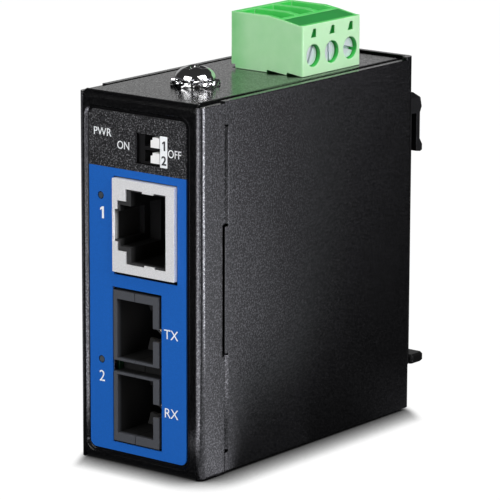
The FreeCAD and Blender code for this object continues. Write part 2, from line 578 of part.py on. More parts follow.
def copperPort():
    body = newBody("rj45_shield")
    low, high = "jackCentre - jackHeight / 2", "jackCentre + jackHeight / 2"
    rear = "jackFront + jackLength"
    sweep(body, "Pad", "XZ", "jackFront", rear, rect("jackLeft", "jackRight", low, high, "shellCorner"))
    sweep(body, "Pocket", "XZ", "jackFront + shellGauge", rear + " - shellGauge",
          rect("jackLeft + shellGauge", "jackRight - shellGauge", low + " + shellGauge",
               high + " - shellGauge"))
    step = "mouthIn - latchStep"
    sweep(body, "Pocket", "XZ", "jackFront", "jackFront + shellGauge", [
        ("jackLeft + 0.1", "jackCentre - latchHalfDeep"), (step, "jackCentre - latchHalfDeep"),
        (step, "jackCentre - latchHalf"), ("mouthIn", "jackCentre - latchHalf"),
        ("mouthIn", "jackCentre - mouthHalf"), ("mouthOut", "jackCentre - mouthHalf"),
        ("mouthOut", "jackCentre + mouthHalf"), ("mouthIn", "jackCentre + mouthHalf"),
        ("mouthIn", "jackCentre + latchHalf"), (step, "jackCentre + latchHalf"),
        (step, "jackCentre + latchHalfDeep"), ("jackLeft + 0.1", "jackCentre + latchHalfDeep")])
    sweep(body, "Pad", "XZ", "jackFront", "jackFront + shellGauge",
          rect("mouthOut - 4.9", "mouthOut - 2.6", "jackCentre + mouthHalf - tabRise",
               "jackCentre + mouthHalf + 0.1"),
          rect("mouthOut - 4.5", "mouthOut - 2.4", "jackCentre - mouthHalf - 0.1",
               "jackCentre - mouthHalf + tabRise"))
    sweep(body, "Pocket", "YZ", "jackLeft - 0.1", "jackLeft + shellGauge",
          rect("jackFront + 12", rear + " - 0.5", "jackCentre - 5.5", "jackCentre + 5.5"))
    for foot in (low, high + " - shellGauge"):
        sweep(body, "Pad", "XY", foot, "(%s) + shellGauge" % foot,
              rect("boardBack - legReach", "jackLeft + 0.6", "jackFront + 9", "jackFront + 10.6"))
    contacts = [prism("XY", up + " - contactWidth / 2", up + " + contactWidth / 2", [
        ("boardBack - legReach", "jackFront + 16.8"), ("boardBack - legReach", "jackFront + 17.1"),
        ("mouthOut + 1.3", "jackFront + 17.1"), ("mouthOut + 1.3", "jackFront + 3.4"),
        ("mouthOut + 1", "jackFront + 3.1"), ("mouthOut - 1.9", "jackFront + 9.4"),
        ("mouthOut - 1.6", "jackFront + 9.6"), ("mouthOut + 1", "jackFront + 4.2"),
        ("mouthOut + 1", "jackFront + 16.8")]) for up in jackRows()]
    block = box(("insertLeft", "insertRight"),
                ("jackFront + shellGauge + 0.05", rear + " - shellGauge - 0.1"),
                (low + " + shellGauge + insertPlay", high + " - shellGauge - insertPlay"))
    mouth = "jackFront - 0.1"
    tools = [box(("mouthIn + cavityInset", "mouthOut - 0.1"), (mouth, "jackFront + plugDepth"),
                 ("jackCentre - mouthHalf + 0.3", "jackCentre + mouthHalf - 0.3")),
             box((step + " + 0.4", "mouthIn + cavityInset + 0.1"), (mouth, "jackFront + 8"),
                 ("jackCentre - latchHalf + 0.75", "jackCentre + latchHalf - 0.75")),
             box(("insertLeft - 0.1", step + " + 0.5"), (mouth, "jackFront + 6.5"),
                 ("jackCentre - latchHalfDeep + 0.3", "jackCentre + latchHalfDeep - 0.3"))]
    for up in jackRows():
        wide = (up + " - contactWidth / 2 - slotPlay", up + " + contactWidth / 2 + slotPlay")
        tools.append(box(("mouthOut - 0.3", "mouthOut + 1.4"), ("jackFront + 2.6", "jackFront + 17.2"), wide))
        tools.append(box(("insertLeft - 0.1", "mouthOut + 1.4"), ("jackFront + 16.7", "jackFront + 17.2"),
                         wide))
    keep("rj45_insert", cut(block, tools))
    keep("rj45_contacts", gather(contacts))


def portHeights():
    return (("tx", "txHeight"), ("rx", "rxHeight"))


def fibrePort():
    tools = []
    for _, up in portHeights():
        tools += [box(("portIn", "portOut"), ("front - 0.1", "front + portDepth"),
                      (up + " - portHalf", up + " + portHalf")),
                  box(("portOut - 0.1", "fibreRight + 0.1"), ("front - 0.1", "front + keyLength"),
                      (up + " - keyHalf", up + " + keyHalf")),
                  rod("y", ("portAxis", up), "front + portDepth - 0.1", "noseBack + 0.1",
                      "barrelRadius + barrelPlay")]
    tools.append(box(("fibreLeft - 0.1", "fibreRight + 0.1"), ("front - 0.1", "front + grooveDepth"),
                     ("fibreCentre - portGroove / 2", "fibreCentre + portGroove / 2")))
    split = "fibreLeft + fibreSplit"
    spans = (("module_lower_shell", "fibreLeft", split + " - splitGap / 2"),
             ("module_upper_shell", split + " + splitGap / 2", "fibreRight"))
    opened = fuse(tools)
    for name, left, right in spans:
        keep(name, cut(box((left, right), ("front", "noseBack"), ("fibreFoot", "fibreTop")), [opened]))
    for name, up in portHeights():
        latchPiece(name, up)
        keep(name + "_barrel", cut(
            rod("y", ("portAxis", up), "front + barrelStart", "noseBack", "barrelRadius"),
            [rod("y", ("portAxis", up), "front + barrelStart - 0.1",
                 "front + barrelStart + 0.4 + sleeveLength",
                 "sleeveRadius + 0.03")]))
        start = "front + barrelStart + 0.3"
        keep(name + "_sleeve", cut(
            rod("y", ("portAxis", up), start, start + " + sleeveLength", "sleeveRadius"),
            [rod("y", ("portAxis", up), start + " - 0.1", start + " + sleeveLength + 0.1", "sleeveBore"),
             box(("portAxis - 0.12", "portAxis + 0.12"), (start + " - 0.1", start + " + sleeveLength + 0.1"),
                 (up, up + " + 3"))]))
    moduleBody()


def latchPiece(name, up):
    plate = [box(("portAxis - 2.6", "portAxis + 2.6"), ("front + portDepth - 1.3", "front + portDepth"),
                 (up + " - portHalf + 0.1", up + " + portHalf - 0.1"))]
    arms = []
    for sign in (-1, 1):
        inner, outer = "%s + %d * 3.3" % (up, sign), "%s + %d * 4.1" % (up, sign)
        tip = "%s + %d * 2.3" % (up, sign)
        arms.append(prism("YZ", "portAxis - 1.4", "portAxis + 1.4", [
            ("front + portDepth - 1.3", outer), ("front + hookDepth", outer),
            ("front + hookDepth + 0.7", tip),
            ("front + hookDepth + 1.3", tip), ("front + hookDepth + 2.1", inner),
            ("front + portDepth - 1.3", inner)]))
    hole = rod("y", ("portAxis", up), "front", "noseBack", "barrelRadius + barrelPlay")
    keep(name + "_latch", cut(fuse(plate + arms), [hole]))


def moduleBody():
    body = newBody("module_body")
    rear = "noseBack + moduleLength"
    sweep(body, "Pad", "XZ", "noseBack", rear,
          rect("fibreLeft", "fibreRight", "fibreFoot + 0.2", "fibreTop - 0.2"))
    sweep(body, "Pocket", "YZ", "fibreRight - 0.4", "fibreRight",
          rect("noseBack + 3", rear + " - 3", "fibreFoot + 3", "fibreTop - 3"))
    sweep(body, "Pad", "YZ", "boardBack - legReach", "fibreLeft",
          *[("noseBack + 4", "fibreCentre %s 10.16" % sign, "0.95") for sign in "+-"])
    keep("module_pins", gather([pinBlock("boardBack - legReach - 0.4", "fibreLeft", *spot, 0.23)
                                for spot in modulePins()]))


def switchBlock():
    foot, top = "switchCentre - 3", "switchCentre + 3"
    solid = fuse([box(("boardFace", "5"), ("front + 2.3", "front + 9"), (foot, top)),
                  box(("-1.1", "4.7"), ("front + 1.15", "front + 2.4"), (foot, top))])
    tools = []
    home = "leverHome + leverLength / 2 + leverPlay"
    left = "leverHome - leverLength / 2 - leverPlay - leverTravel"
    for up in ("switchLow", "switchHigh"):
        tools.append(box((left, home), ("front + 1", "front + 5"),
                         (up + " - leverWidth / 2 - leverPlay", up + " + leverWidth / 2 + leverPlay")))
        tools.append(box((left, home), ("front + 1", "front + 2.8"),
                         (up, up + " + leverWidth / 2 + leverNeck + leverPlay")))
        tools.append(box((left + " - 0.4", home + " + 0.4"), ("front + 3.3", "front + 5"),
                         (up + " - 1.05", up + " + 1.05")))
    keep("switch_housing", cut(solid, tools))
    for name, up in (("switch_lever_1", "switchHigh"), ("switch_lever_2", "switchLow")):
        keep(name, fuse([
            box(("leverHome - leverLength / 2", "leverHome + leverLength / 2"),
                ("front + 0.2", "front + 4.9"),
                (up + " - leverWidth / 2", up + " + leverWidth / 2")),
            box(("leverHome - leverLength / 2 + 0.4", "leverHome + leverLength / 2"),
                ("front + 0.2", "front + 2.6"),
                (up, up + " + leverWidth / 2 + leverNeck")),
            box(("leverHome - leverLength / 2 - 0.4", "leverHome + leverLength / 2 + 0.4"),
                ("front + 3.4", "front + 4.9"), (up + " - 0.95", up + " + 0.95"))]))
    keep("switch_pins", gather([pinBlock("boardBack - legReach", "boardFace", *spot, 0.25)
                                for spot in switchPins()]))


def lamps():
    for name, column, up in lampPlaces:
        pipe = [rod("y", (column, up), "front + 0.2", "front + 2.7", "pipeRadius"),
                box(("boardBack - 1.8", "boardBack"), ("front + 2.6", "front + 4.4"),
                    (up + " - 0.9", up + " + 0.9"))]
        keep(name + "_light_pipe", fuse(pipe))
        keep(name + "_led", box(("boardBack - 1.7", "boardBack"), ("front + 4.5", "front + 5.9"),
                                (up + " - 0.75", up + " + 0.75")))


# power terminal

def stemSpan(grow="0"):
    return ("plugCentre - stemHalf - " + grow, "plugCentre + stemHalf + " + grow)


def terminalHeader():
    pins = [prism("XZ", along + " - pinSide / 2", along + " + pinSide / 2", [
        ("boardBack - legReach", "headerFoot + 1.2"), ("boardBack - legReach", "headerFoot + 2.2"),
        ("pinColumn - pinSide / 2", "headerFoot + 2.2"), ("pinColumn - pinSide / 2", "pinTop"),
        ("pinColumn + pinSide / 2", "pinTop"), ("pinColumn + pinSide / 2", "headerFoot + 1.2")])
        for along in poles()]
    right = "boardFace + headerThick"
    block = box(("boardFace", right), ("plugCentre - headerSpan / 2", "plugCentre + headerSpan / 2"),
                ("headerFoot", "roofIn - 0.1"))
    mouth = box(("stemLeft - stemPlay", "stemRight + stemPlay"), stemSpan("stemPlay"),
                ("headerFloor", "caseHeight"))
    keep("header_pins", gather(pins))
    keep("terminal_header", cut(block, [mouth, gather(pins)]))


def terminalPlug():
    body = newBody("terminal_plug")
    lipTop, foot = "plugTop - 1.05", "plugBase"
    ridge, groove = "plugLeft + 10.6", "plugRight - 0.85"
    sweep(body, "Pad", "XZ", "plugCentre - plugSpan / 2", "plugCentre + plugSpan / 2", [
        ("plugLeft + 0.8", foot), ("2.2", foot), ("2.2", foot + " + notchRise"), ("6", foot), ("6.4", foot),
        ("6.4", foot + " + notchRise"), ("plugRight - 0.3", foot),
        ("plugRight", foot), ("plugRight", lipTop), (groove, lipTop), (ridge, "plugTop - 0.4"),
        ("plugLeft + 7.8", "plugTop"), ("plugLeft", "plugTop"), ("plugLeft", foot + " + 0.65"),
        ("plugLeft + 0.8", foot + " + 0.65")])
    ends = ("plugCentre - plugSpan / 2 + endWall", "plugCentre + plugSpan / 2 - endWall")
    sweep(body, "Pocket", "XZ", *ends, [
        (groove, "plugTop + 0.1"), (groove, "plugBase + 5.9"), (groove + " - 0.9", "plugBase + 5.9"),
        (groove + " - 0.9", "plugTop - 2.2"), (ridge, "plugTop - 2.2"), (ridge, "plugTop + 0.1")])
    sweep(body, "Pad", "XY", "stemFoot", foot, rect("stemLeft", "stemRight", *stemSpan()))
    half = "chamberHalf"
    sweep(body, "Pocket", "XY", "chamberFloor", "chamberRoof",
          *[rect("-1.6", "shoulder - 0.4", "%s - %s" % (along, half), "%s + %s" % (along, half))
            for along in poles()])
    sweep(body, "Pocket", "XY", "chamberRoof - 0.1", "plugTop",
          *[rect("-0.9", "2.1", along + " - 1.6", along + " + 1.6") for along in poles()])
    funnel = sweep(body, "Pocket", "XY", "plugTop - funnelDepth", "plugTop",
                   *[rect("-4.3", "4.6", along + " - 2.1", along + " + 2.1") for along in poles()])
    funnel.TaperAngle = -12
    sweep(body, "Pocket", "XY", "stemFoot", "chamberFloor + 0.1",
          *[rect("-1.6", "1", along + " - 1.3", along + " + 1.3") for along in poles()])
    sweep(body, "Pocket", "YZ", "shoulder", "plugRight",
          *[(along, "clampAxis", "headHole") for along in poles()])
    sweep(body, "Pocket", "YZ", "shoulder - 0.5", "plugRight",
          *[(along, "clampAxis", "clampShank + 0.3") for along in poles()])
    sweep(body, "Pocket", "YZ", groove + " - 0.1", "plugRight",
          *[windowLoop(along, "0") for along in poles()])
    dress(body, "Fillet", "0.3", lambda edge: runs(edge, "z", 5) and near(edge.CenterOfMass.x, "plugRight"))
    terminalCap(ridge, groove)
    for number, along in enumerate(poles(), start=1):
        clampUnit(number, along)
    keep("plug_contacts", gather([plugContact(along) for along in poles()]))


def windowLoop(along, inset):
    # sloping window through the lip over one pole
    side, up = "(windowSide / 2 - %s)" % inset, "plugBase + windowHeight"
    return [("%s - %s" % (along, side), "%s - %s" % (up, side)),
            ("%s + %s" % (along, side), "%s - %s" % (up, side)),
            ("%s + %s" % (along, side), "%s + %s" % (up, side)),
            ("%s - %s * 0.1" % (along, side), "%s + %s" % (up, side))]


def terminalCap(ridge, groove):
    play = "0.05"
    ends = ("plugCentre - plugSpan / 2 + endWall + 0.05", "plugCentre + plugSpan / 2 - endWall - 0.05")
    right = groove + " - " + play
    left = ridge + " + " + play
    floor = "plugTop - 2.2 + " + play
    solid = prism("XZ", *ends, [
        (left, floor), (groove + " - 0.85", floor), (groove + " - 0.85", "plugBase + 5.95"),
        (right, "plugBase + 5.95"), (right, "plugTop - 1.15"), (left, "plugTop - 0.45")])
    wedges = [prism("YZ", right + " - 0.1", right + " + 0.5", windowLoop(along, "0.05")) for along in poles()]
    keep("terminal_cap", fuse([solid] + wedges))


def clampUnit(number, along):
    seat = "shoulder + 0.05"
    head = rod("x", (along, "clampAxis"), seat, seat + " + 1.6", "clampHead")
    shank = rod("x", (along, "clampAxis"), "3.2", seat, "clampShank")
    angle = (65, 95, 165)[number - 1]
    slot = prism("YZ", seat + " + 0.8", seat + " + 1.7", [
        ("%s + %d * 2 * cos(%d deg) - %d * slotHalf * sin(%d deg)" % (along, far, angle, wide, angle),
         "clampAxis + %d * 2 * sin(%d deg) + %d * slotHalf * cos(%d deg)" % (far, angle, wide, angle))
        for far, wide in ((-1, -1), (1, -1), (1, 1), (-1, 1))])
    keep("clamp_screw_%d" % number, cut(fuse([head, shank]), [slot]))
    block = box(("-1.3", "4.7"), (along + " - cageHalf", along + " + cageHalf"), ("cageFoot", "cageRoof"))
    inside = box(("-0.3", "3.3"), (along + " - cageHalf + 0.4", along + " + cageHalf - 0.4"),
                 ("cageFoot - 0.1", "cageRoof + 0.1"))
    bore = rod("x", (along, "clampAxis"), "3.2", "4.8", "clampShank + runPlay")
    keep("clamp_cage_%d" % number, cut(block, [inside, bore]))


def plugContact(along):
    sides = (along + " - 1.2", along + " + 1.2")
    plate = box(("-1.5", "3"), sides, ("chamberFloor + 0.05", "chamberFloor + 0.55"))
    tongue = box(("2.2", "3"), sides, ("chamberFloor + 0.05", "chamberRoof - 0.1"))
    socket = box(("-1.5", "0.9"), sides, ("stemFoot + 0.4", "chamberFloor + 0.1"))
    hollow = box(("pinColumn - 0.6", "pinColumn + 0.6"), (along + " - 0.6", along + " + 0.6"),
                 ("stemFoot + 0.3", "chamberFloor - 0.1"))
    return cut(fuse([plate, tongue, socket]), [hollow])


# rail clip

def railClip():
    body = newBody("din_bracket")
    seat, wallIn = "back + seatDepth", "back + seatDepth + hookGap"
    wallOut = wallIn + " + hookWall"
    sweep(body, "Pad", "YZ", "-clipHalf", "clipHalf", [
        ("back", "clipFoot"), (seat, "clipFoot"), (seat, "hookRoot"), (wallIn, "hookRoot"),
        (wallIn, "hookFoot"), (wallOut + " + 0.2", "hookFoot - 0.2"), (wallOut + " + 0.75", "hookFoot"),
        (wallOut + " + 0.75", "hookFoot + 1"), (wallOut, "hookFoot + 2.1"), (wallOut, "hookRoot"),
        (wallOut + " + 0.5", "hookRoot + 1"), (wallOut + " + 0.1", "hookRoot + 2.6"),
        (wallIn, "clipTop"), ("back", "clipTop")])
    sweep(body, "Pad", "YZ", "-stopHalf", "stopHalf", rect(seat, wallIn, "railTop", "hookRoot"))
    wide, neck = "latchHalfWide + slidePlay", "latchHalfNeck + slidePlay"
    step, floor = "back + slideFloor + slideGauge + slidePlay", "back + slideFloor - slidePlay"
    sweep(body, "Pocket", "XY", "clipFoot", "channelTop", [
        ("-(%s)" % wide, floor), (wide, floor), (wide, step), (neck, step), (neck, seat),
        ("-(%s)" % neck, seat),
        ("-(%s)" % neck, step), ("-(%s)" % wide, step)])
    spring = "springRadius + springWire + 0.15"
    sweep(body, "Pocket", "XZ", floor, seat, rect("-(%s)" % spring, spring, "channelTop - 0.1", "springTop"))
    sweep(body, "Pocket", "XZ", "back", seat,
          *[("0", up, "shankRadius + 0.2") for up in ("clipScrewLow", "clipScrewHigh")])
    sweep(body, "Pocket", "XZ", "back + 2.4", seat,
          *[("0", up, "clipHead + 0.35") for up in ("clipScrewLow", "clipScrewHigh")])
    dress(body, "Chamfer", "0.8", lambda edge: runs(edge, "y", 3)
          and near(abs(edge.CenterOfMass.x), "clipHalf")
          and (near(edge.CenterOfMass.z, "clipFoot") or near(edge.CenterOfMass.z, "clipTop")))
    keep("bracket_screws", gather([screw("y", 1, ("0", up), "back + 2.4", "clipHead", "1.8", "shankRadius",
                                         "5.9")
                                   for up in ("clipScrewLow", "clipScrewHigh")]))
    railLatch(seat)


def railLatch(seat):
    body = newBody("din_latch")
    floor = "back + slideFloor"
    wingTop = floor + " + slideGauge"
    sweep(body, "Pad", "XY", "latchFoot", "latchTop", [
        ("-latchHalfWide", floor), ("latchHalfWide", floor), ("latchHalfWide", wingTop),
        ("latchHalfNeck", wingTop), ("latchHalfNeck", seat + " - 0.05"), ("-latchHalfNeck", seat + " - 0.05"),
        ("-latchHalfNeck", wingTop), ("-latchHalfWide", wingTop)])
    sweep(body, "Pocket", "YZ", "-latchHalfNeck", "latchHalfNeck",
          rect(wingTop, seat, "railFoot", "latchTop"))
    handle = "latchFoot + handleGauge"
    sweep(body, "Pad", "YZ", "-latchHalfNeck", "latchHalfNeck", [
        (seat + " - 0.1", "latchFoot"), ("back + handleReach - 1.1", "latchFoot"),
        ("back + handleReach - 1.1", handle),
        ("back + handleReach - 1.1", handle + " + 1.5"), (seat + " + catchGap + 0.7", "catchTop"),
        (seat + " + catchGap", "catchTop"), (seat + " + catchGap", "railFoot - 0.1"),
        (seat + " - 0.1", "railFoot - 0.1")])
    sweep(body, "Pad", "XY", "latchFoot", handle,
          rect("-handleHalf", "handleHalf", seat + " + 0.2", "back + handleReach", "0.8"))
    dress(body, "Chamfer", "0.35", lambda edge: runs(edge, "x", 5)
          and near(edge.CenterOfMass.y, "back + handleReach"))
    axis = "back + slideFloor + 0.9"
    coil = doc.addObject("Part::Helix", "coil")
    bind(coil, "Pitch", "(springTop - latchTop - 0.7) / springTurns")
    bind(coil, "Height", "springTop - latchTop - 0.7")
    bind(coil, "Radius", "springRadius")
    bind(coil, "Placement.Base.y", axis)
    bind(coil, "Placement.Base.z", "latchTop + 0.35")
    wire = doc.addObject("Part::RegularPolygon", "wire")
    wire.Polygon = 4
    bind(wire, "Circumradius", "springWire * 0.7")
    wire.Placement = FreeCAD.Placement(FreeCAD.Vector(), FreeCAD.Rotation(FreeCAD.Vector(1, 0, 0), 90))
    bind(wire, "Placement.Base.x", "springRadius")
    bind(wire, "Placement.Base.y", axis)
    bind(wire, "Placement.Base.z", "latchTop + 0.35")
    spring = doc.addObject("Part::Sweep", "spring")
    spring.Sections = [wire]
    spring.Spine = (coil, [])
    spring.Solid = True
    spring.Frenet = True
    keep("latch_spring", spring)


# loose components on the board

def components():
    chip = [box(("boardFace + 0.15", "boardFace + 1.5"), ("2.5", "16.5"), ("32.5", "46.5"))]
    keep("switch_chip", chip[0])
    leads = []
    for step in range(8):
        offset = "%s" % (1.6 * (step - 3.5))
        for low, high in (("1.5", "2.5"), ("16.5", "17.5")):
            leads.append(box(("boardFace", "boardFace + 0.6"), (low, high),
                             ("39.35 + " + offset, "39.65 + " + offset)))
        for low, high in (("31.5", "32.5"), ("46.5", "47.5")):
            leads.append(box(("boardFace", "boardFace + 0.6"), ("9.35 + " + offset, "9.65 + " + offset),
                             (low, high)))
    keep("chip_leads", gather(leads))
    keep("line_transformer", box(("boardFace", "boardFace + 5.5"), ("front + 21.6", "front + 28.4"),
                                 ("38", "47.6")))
    keep("power_inductor", box(("boardFace", "boardFace + 3.6"), ("front + 47.8", "front + 54"),
                               ("40.8", "47")))
    keep("filter_capacitors", gather([rod("x", ("22", up), "boardFace", "boardFace + 6.2", "3.1")
                                      for up in ("35", "25")]))
    keep("crystal", box(("boardFace", "boardFace + 3.4"), ("front + 42", "front + 46.6"), ("12", "23")))


def finish():
    doc.recompute()
    for thing in doc.Objects:
        if "Invalid" in thing.State or "Error" in thing.State:
            raise RuntimeError("%s is not sound: %s" % (thing.Label, thing.State))
    os.makedirs("parts", exist_ok=True)
    for name, thing in nodes:
        shape = thing.Shape
        if shape.isNull() or not shape.isValid() or not shape.Solids:
            raise RuntimeError(name + " has no sound shape")
        shape.exportStep("parts/" + name + ".step")
        span = shape.BoundBox
        print(name, len(shape.Solids), "solids", [round(one, 2) for one in (
            span.XMin, span.XMax, span.YMin, span.YMax, span.ZMin, span.ZMax)], round(shape.Volume, 1))


fillSheet()
for make in (frontChassis, rearCover, frontLabel, caseFasteners, circuitBoard, copperPort, fibrePort,
             switchBlock, lamps, terminalHeader, terminalPlug, railClip, components):
    make()
    doc.recompute()
finish()
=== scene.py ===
import math

import bmesh
import bpy
from mathutils import Matrix, Vector


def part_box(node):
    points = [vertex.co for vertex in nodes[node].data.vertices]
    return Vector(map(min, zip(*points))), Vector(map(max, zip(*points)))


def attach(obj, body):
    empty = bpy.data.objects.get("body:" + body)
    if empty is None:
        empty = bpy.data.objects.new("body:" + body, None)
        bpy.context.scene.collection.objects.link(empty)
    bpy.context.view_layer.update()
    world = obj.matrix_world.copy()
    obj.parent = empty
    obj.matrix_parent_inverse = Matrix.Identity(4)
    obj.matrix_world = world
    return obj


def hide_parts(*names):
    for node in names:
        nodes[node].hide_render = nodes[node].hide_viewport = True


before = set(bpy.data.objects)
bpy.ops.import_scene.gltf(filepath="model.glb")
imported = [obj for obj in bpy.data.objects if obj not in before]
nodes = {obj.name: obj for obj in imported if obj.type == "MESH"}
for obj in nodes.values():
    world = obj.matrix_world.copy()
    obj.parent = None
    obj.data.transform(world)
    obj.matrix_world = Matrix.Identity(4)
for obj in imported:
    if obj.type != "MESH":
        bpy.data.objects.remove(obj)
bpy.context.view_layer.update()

mm = 0.001
coverLow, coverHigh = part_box("rear_cover")
spare = 0.1 * mm        # the floor's light and shadow keep this clear of the sides
wall = {"left": coverLow.x - spare, "right": coverHigh.x + spare,
        "front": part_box("front_chassis")[0].y, "back": coverHigh.y}


# shader wiring: an expression on wires adds its Math nodes

class Wire:
    def __init__(self, tree, socket=None):
        self.tree = tree
        self.socket = socket

    def make(self, kind, settings=None, inputs=None, out=0):
        node = self.tree.nodes.new(kind)
        for name, value in (settings or {}).items():
            setattr(node, name, value)
        for name, value in (inputs or {}).items():
            plug(self.tree, node.inputs[name], value)
        return Wire(self.tree, node.outputs[out])

    def maths(self, operation, first, second):
        return self.make("ShaderNodeMath", {"operation": operation}, {0: first, 1: second})

    def __add__(self, other):
        return self.maths("ADD", self, other)

    def __radd__(self, other):
        return self.maths("ADD", other, self)

    def __sub__(self, other):
        return self.maths("SUBTRACT", self, other)

    def __rsub__(self, other):
        return self.maths("SUBTRACT", other, self)

    def __mul__(self, other):
        return self.maths("MULTIPLY", self, other)

    def __rmul__(self, other):
        return self.maths("MULTIPLY", other, self)

    def __truediv__(self, other):
        return self.maths("DIVIDE", self, other)

    def __rtruediv__(self, other):
        return self.maths("DIVIDE", other, self)

    def __pow__(self, other):
        return self.maths("POWER", self, other)

    def __gt__(self, other):
        return self.maths("GREATER_THAN", self, other)

    def __lt__(self, other):
        return self.maths("LESS_THAN", self, other)

    def clamped(self):
        return self.make("ShaderNodeClamp", None, {"Value": self})

    def spread(self, low, high, first=0.0, last=1.0):
        # eases from first at low to last at high
        return self.make("ShaderNodeMapRange", {"interpolation_type": "SMOOTHSTEP"}, {
            "Value": self, "From Min": low, "From Max": high, "To Min": first, "To Max": last})

    def tint(self, dark, light):
        # picks between two colours: dark at 0, light at 1
        return self.make("ShaderNodeMix", {"data_type": "RGBA"}, {0: self, 6: dark, 7: light}, 2)

    def swing(self, amount):
        # noise about its middle, as a change to add
        return (self - 0.5) * amount

    def axes(self):
        parts = self.make("ShaderNodeSeparateXYZ", None, {0: self})
        return [Wire(self.tree, out) for out in parts.socket.node.outputs]


def plug(tree, socket, value):
    if isinstance(value, Wire):
        tree.links.new(value.socket, socket)
        return
    if socket.type == "RGBA" and len(value) == 3:
        value = (*value, 1.0)
    socket.default_value = value


def wire(finish, shader, inputs):
    for socket, value in inputs.items():
        plug(finish.node_tree, shader.inputs[socket], value)


def newFinish(name, sockets):
    finish = bpy.data.materials.new(name)
    finish.use_nodes = True
    shader = finish.node_tree.nodes["Principled BSDF"]
    wire(finish, shader, sockets)
    base = Wire(finish.node_tree)
    place = base.make("ShaderNodeTexCoord", None, None, "Object")
    return finish, shader, base, place


def cloud(base, place, size, detail=2.0, roughness=0.5):
    # smooth noise whose patches are about size across
    return base.make("ShaderNodeTexNoise", None, {
        "Vector": place, "Scale": 1.0 / size, "Detail": detail, "Roughness": roughness})


def grainy(base, place, size, roughness=0.6):
    return cloud(base, place, size, 2.0, roughness)


def mixOf(first, second, share):
    return first * share + second * (1 - share)


def softened(base, radius):
    # the normal, eased over hard edges
    return base.make("ShaderNodeBevel", {"samples": 4}, {"Radius": radius})


def bumped(base, height, strength, depth, soften=0.0):
    # depth is the bump's height and soften the radius that edges catch light by
    inputs = {"Height": height, "Strength": strength, "Distance": depth}
    if soften:
        inputs["Normal"] = softened(base, soften)
    return base.make("ShaderNodeBump", None, inputs)


def scaled(colour, factor):
    return tuple(part * factor for part in colour)


# finishes

casePaint = {
    "dark": (0.0006, 0.0006, 0.0008), "light": (0.0026, 0.0026, 0.003),
    "coarse": 0.27 * mm, "fine": 0.1215 * mm, "drift": 9 * mm,
    "coarseInSpeck": 0.65, "coarseInBump": 0.7, "speckEdge": (0.42, 0.62),
    "roughness": 0.2, "roughDrift": 0.06, "roughGrain": 0.25,
    "bump": 0.55, "depth": 0.03 * mm, "soften": 0.25 * mm, "coatPower": 1.5,
    "sockets": {"Specular IOR Level": 0.35, "Coat Roughness": 0.16, "Coat IOR": 1.6},
}


def makePaint():
    # powder coat: the tops of low grains take a clear shine, one by one
    look = casePaint
    finish, shader, base, place = newFinish("powderPaint", look["sockets"])
    coarse = grainy(base, place, look["coarse"])
    fine = grainy(base, place, look["fine"])
    drift = cloud(base, place, look["drift"])
    speck = mixOf(coarse, fine, look["coarseInSpeck"]).spread(*look["speckEdge"])
    height = mixOf(coarse, fine, look["coarseInBump"])
    rough = look["roughness"] + drift.swing(look["roughDrift"]) + coarse.swing(look["roughGrain"])
    wire(finish, shader, {
        "Base Color": speck.tint(look["dark"], look["light"]),
        "Roughness": rough.clamped(),
        "Coat Weight": (speck ** look["coatPower"]).clamped(),
        "Normal": bumped(base, height, look["bump"], look["depth"], look["soften"]),
    })
    return finish


label = {
    "split": 49.7 * mm,     # blue below this height, speckled black above it
    "blue": (0.005, 0.098, 0.42), "blueLift": 1.15, "grain": 0.16 * mm, "grainEdge": (0.4, 0.7),
    "black": (0.004, 0.004, 0.0045), "speck": (0.24, 0.24, 0.255), "weave": 0.24 * mm,
    "weaveRough": 0.7, "weaveEdge": (0.42, 0.74), "weavePower": 2.0,
    "roughness": 0.45, "roughGrain": 0.15, "bump": 0.3, "depth": 0.01 * mm,
    "sockets": {"Specular IOR Level": 0.22},
}


def makeLabelFilm():
    look = label
    finish, shader, base, place = newFinish("labelFilm", look["sockets"])
    height = place.axes()[2]
    grain = grainy(base, place, look["grain"])
    weave = grainy(base, place, look["weave"], look["weaveRough"])
    blue = grain.spread(*look["grainEdge"]).tint(look["blue"], scaled(look["blue"], look["blueLift"]))
    black = (weave.spread(*look["weaveEdge"]) ** look["weavePower"]).tint(look["black"], look["speck"])
    wire(finish, shader, {
        "Base Color": (height > look["split"]).tint(blue, black),
        "Roughness": look["roughness"] + grain.swing(look["roughGrain"]),
        "Normal": bumped(base, grain, look["bump"], look["depth"]),
    })
    return finish


# painted shade: a port's colour falls to black behind the front panel; start and reach: how far behind
# the front panel this painted shade begins and ends
ports = {
    "modulePlastic": {"face": (0.058, 0.061, 0.07), "deep": (0.002, 0.002, 0.002), "start": 0.05 * mm,
                      "reach": 1.2 * mm, "roughness": 0.42, "sockets": {"Specular IOR Level": 0.3}},
    "jackPlastic": {"face": (0.03, 0.03, 0.031), "deep": (0.0004, 0.0004, 0.0004), "start": 0.05 * mm,
                    "reach": 1.3 * mm, "roughness": 0.42, "sockets": {"Specular IOR Level": 0.15}},
    "jackNickel": {"face": (0.76, 0.76, 0.77), "deep": (0.001, 0.001, 0.001), "start": 0.15 * mm,
                   "reach": 0.9 * mm, "roughness": 0.4, "sockets": {"Metallic": 0.35}},
}
portGrain = {"size": 0.18 * mm, "edge": (0.35, 0.7), "lift": 1.2, "rough": 0.1, "deepRough": 0.3,
             "bump": 0.3, "depth": 0.012 * mm, "soften": 0.1 * mm}


